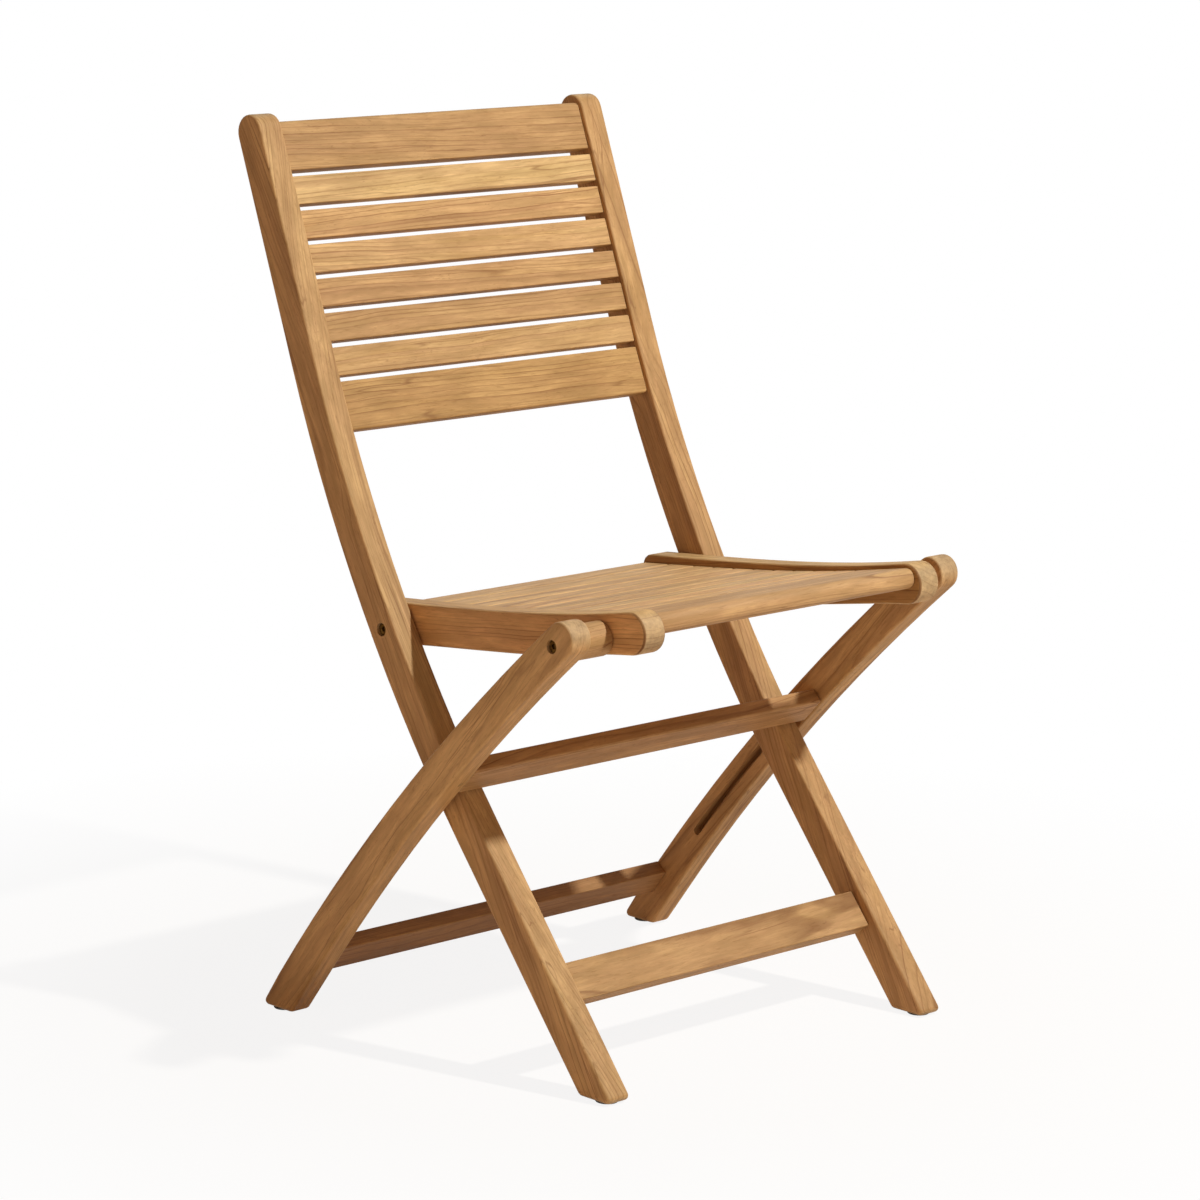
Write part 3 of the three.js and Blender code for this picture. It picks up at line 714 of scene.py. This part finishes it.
def bare_copy(name):
    """The CAD piece as a bmesh, with its corners welded and its flat faces whole."""
    mesh = nodes[name].data.copy()
    set_normals = mesh.attributes.get("custom_normal")
    if set_normals:
        mesh.attributes.remove(set_normals)
    bm = bmesh.new()
    bm.from_mesh(mesh)
    bpy.data.meshes.remove(mesh)
    bmesh.ops.remove_doubles(bm, verts=bm.verts, dist=WELD)
    bmesh.ops.dissolve_limit(bm, angle_limit=FLAT_ANGLE, verts=bm.verts, edges=bm.edges)
    bm.normal_update()
    return bm


def finished(bm, mesh, name, look):
    """Puts a rounded wooden piece in the place of its CAD node."""
    for face in bm.faces:
        face.material_index = 0
    smooth_below(bm, SHARP_ANGLE)
    bm.to_mesh(mesh)
    bm.free()
    mesh.name = f"{name}_wood"
    mesh.materials.append(look)
    piece = stand_for(name, f"{name}_wood", mesh)
    evened = piece.modifiers.new("evened normals", "WEIGHTED_NORMAL")
    evened.keep_sharp = True


def plate(name, look, width, foot_width):
    bm = bare_copy(name)
    round_plate(bm, width, foot_width)
    finished(bm, bpy.data.meshes.new(name), name, look)


def board(name, look, width, picker=board_edges):
    bm = bare_copy(name)
    mesh = bevelled(bm, picker, width, name)
    bm.clear()
    bm.from_mesh(mesh)
    finished(bm, mesh, name, look)


def hexagon(angle):
    """How far a hexagon reaches at an angle, as a share of its corner's reach."""
    step = 2 * math.pi / HEX_SIDES
    return math.cos(step / 2) / math.cos(angle % step - step / 2)


def bolt(name, look):
    """A socket-head bolt in the place of the CAD one, with a chamfered head and a hexagon socket."""
    low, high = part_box(name)
    side = 1 if low.x + high.x > 0 else -1
    middle = centre(name)
    tip, top = sorted((abs(low.x), abs(high.x)))
    spots = [(abs(vert.co.x), (vert.co - middle).yz.length) for vert in nodes[name].data.vertices]
    head = max(r for _, r in spots)
    under = min(x for x, r in spots if r > head - APART)
    shank = max(r for x, r in spots if abs(x - tip) < NEAR)
    floor = min(x for x, r in spots if under + APART < x < top - APART)
    socket = max(r for x, r in spots if abs(x - floor) < NEAR) * HEX_SHARE
    bm = bmesh.new()

    def ring(x, radius, shape=None):
        corners = []
        for i in range(HEAD_SIDES):
            angle = 2 * math.pi * i / HEAD_SIDES
            reach = radius * shape(angle) if shape else radius
            corners.append(bm.verts.new((
                side * x, middle.y + reach * math.cos(angle), middle.z + reach * math.sin(angle),
            )))
        return corners

    rings = [
        ring(tip, shank - HEAD_CHAMFER), ring(tip + HEAD_CHAMFER, shank), ring(under, shank),
        ring(under, head), ring(top - HEAD_CHAMFER, head), ring(top, head - HEAD_CHAMFER),
        ring(top, socket + HEAD_CHAMFER, hexagon), ring(top - HEAD_CHAMFER, socket, hexagon),
        ring(floor, socket, hexagon),
    ]
    for a, b in zip(rings, rings[1:]):
        for i in range(HEAD_SIDES):
            bm.faces.new((a[i - 1], a[i], b[i], b[i - 1]))
    bm.faces.new(rings[0])
    bm.faces.new(rings[-1])
    bmesh.ops.recalc_face_normals(bm, faces=bm.faces)
    smooth_below(bm, CREASE_ANGLE)
    mesh = bpy.data.meshes.new(f"{name}_turned")
    bm.to_mesh(mesh)
    bm.free()
    mesh.materials.append(look)
    stand_for(name, f"{name}_turned", mesh)


# Pieces
seat_grain = centre("front_pivot_bolt_left") - centre("rear_pivot_bolt_left")
seat_grain.x = 0
leg_grain = centre("front_pivot_bolt_left") - centre("rear_glide_left")
leg_grain.x = 0
stile_low, stile_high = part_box("stile_left")
stile_grain = Vector((0, stile_high.y - stile_low.y, stile_high.z - stile_low.z))
peg_low, peg_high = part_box("peg_left")
peg_grain = Vector((0, peg_high.y - peg_low.y, peg_low.z - peg_high.z))

for hand in ("left", "right"):
    for kind, grain, foot_width, end_edge_darkening in (
        ("stile", stile_grain, FOOT_ROUND, 0.0),
        ("leg", leg_grain, FOOT_ROUND, 0.0),
        ("seat_rail", seat_grain, EDGE_ROUND, RAIL_END_EDGE_DARKENING),
    ):
        name = f"{kind}_{hand}"
        look = teak(name, grain, *TONES[name], end_edge_darkening=end_edge_darkening)
        plate(name, look, EDGE_ROUND, foot_width)
    name = f"spacer_{hand}"
    # The spacers' rims beside their end grain get painted shade, standing in for the dark creases where
    # they meet the rail and the leg
    look = teak(name, ACROSS, *TONES[name], end_edge_darkening=SPACER_PAINTED_CREASE_SHADE)
    board(name, look, SPACER_ROUND, ring_edges)
    name = f"peg_{hand}"
    nodes[name].data.materials[0] = teak(name, peg_grain, *TONES[name])

for name, width in (
    ("front_stretcher", BOARD_ROUND), ("middle_stretcher", EDGE_ROUND), ("rear_stretcher", BOARD_ROUND),
):
    board(name, teak(name, ACROSS, *TONES[name]), width)

back_pickers = [board_edges] * len(BACK_TONES)
back_pickers[0] = partial(outer_board_edges, up=1, outer_width=BACK_TOP_ROUND)
back_pickers[-1] = partial(outer_board_edges, up=-1, outer_width=BACK_LOW_ROUND)
for i, (tones, picker) in enumerate(zip(BACK_TONES, back_pickers), 1):
    name = f"back_slat_{i}"
    board(name, teak(name, ACROSS, *tones), BOARD_ROUND, picker)

seat_draw = random.Random(SEAT_DRAW)
seat_slats = sum(name.startswith("seat_slat_") for name in nodes)
for i in range(1, seat_slats + 1):
    name = f"seat_slat_{i}"
    tones = (seat_draw.uniform(*SEAT_TONE), seat_draw.uniform(*SEAT_RED))
    board(name, teak(name, ACROSS, *tones, gloss=SEAT_GLOSS), BOARD_ROUND)
look = teak("seat_front_slat", ACROSS, *TONES["seat_front_slat"], gloss=FRONT_SLAT_GLOSS)
board("seat_front_slat", look, BOARD_ROUND)

brass = metal("brass_look", *BRASS)
steel = metal("steel_look", *STEEL)
plastic = glide_plastic()
for hand in ("left", "right"):
    for end in ("rear", "front"):
        bolt(f"{end}_pivot_bolt_{hand}", brass)
        nodes[f"{end}_pivot_insert_{hand}"].data.materials[0] = brass
        nodes[f"{end}_glide_{hand}"].data.materials[0] = plastic
    nodes[f"seat_washer_{hand}"].data.materials[0] = steel
    nodes[f"guide_pin_{hand}"].data.materials[0] = steel


# Stage: a pale floor that clears to white away from the chair
def floor_look():
    made, t = material("floor_look")
    place = t.add("ShaderNodeTexCoord").outputs["Object"]
    spots = spanned(t, even_noise(t, place, "floor spot"), "floor spot")
    shade = t.mix(spots, color(FLOOR_COLOR), color(FLOOR_SPOT))
    matt = t.add("ShaderNodeBsdfDiffuse", {"Color": shade, "Roughness": FLOOR_ROUGHNESS})
    white = t.add("ShaderNodeEmission", {"Color": color(WHITE), "Strength": 1.0})
    away = t.span(t.vector("LENGTH", place), *FLOOR_FADE, FLOOR_CLEAR, 1.0)
    mixed = t.add("ShaderNodeMixShader", {
        0: t.math("MULTIPLY", t.seen(), away), 1: matt.outputs[0], 2: white.outputs[0],
    })
    t.add("ShaderNodeOutputMaterial", {"Surface": mixed.outputs[0]})
    return made


corners = [(x * FLOOR_HALF, y * FLOOR_HALF, 0) for x, y in ((-1, -1), (1, -1), (1, 1), (-1, 1))]
floor_mesh = bpy.data.meshes.new("floor")
floor_mesh.from_pydata(corners, [], [(0, 1, 2, 3)])
floor_mesh.materials.append(floor_look())
in_scene("floor", floor_mesh)

world = bpy.data.worlds.new("studio")
world.use_nodes = True
sky = Tree(world.node_tree)
seen = sky.seen()
direction = sky.add("ShaderNodeTexCoord").outputs["Generated"]
up = sky.add("ShaderNodeSeparateXYZ", {"Vector": direction}).outputs["Z"]
level = sky.math("MAXIMUM", seen, sky.span(up, 0.0, FILL_TOP, FILL, FILL_ABOVE))
tinge = sky.mix(seen, color(FILL_COLOR), color(WHITE))
background = sky.add("ShaderNodeBackground", {"Color": tinge, "Strength": level})
sky.add("ShaderNodeOutputWorld", {"Surface": background.outputs[0]})
bpy.context.scene.world = world

lamp_data = bpy.data.lights.new("key", "AREA")
lamp_data.shape = "DISK"
lamp_data.size = LIGHT_SIZE
lamp_data.energy = LIGHT_POWER
lamp_data.color = LIGHT_COLOR
lamp = in_scene("key", lamp_data)
lamp.location = LIGHT_PLACE
lamp.rotation_euler = (Vector(LIGHT_PLACE) - Vector(LIGHT_AIM)).to_track_quat("Z", "Y").to_euler()

camera_data = bpy.data.cameras.new("photo")
camera_data.lens = LENS
camera_data.sensor_width = SENSOR
camera_data.clip_end = CAMERA_REACH
camera = in_scene("photo", camera_data)
turn = Matrix((CAMERA_RIGHT, CAMERA_UP, CAMERA_BACK)).transposed().to_4x4()
camera.matrix_world = Matrix.Translation(CAMERA_PLACE) @ turn
bpy.context.scene.camera = camera

bpy.context.scene.view_settings.view_transform = "Standard"


bpy.context.view_layer.update()
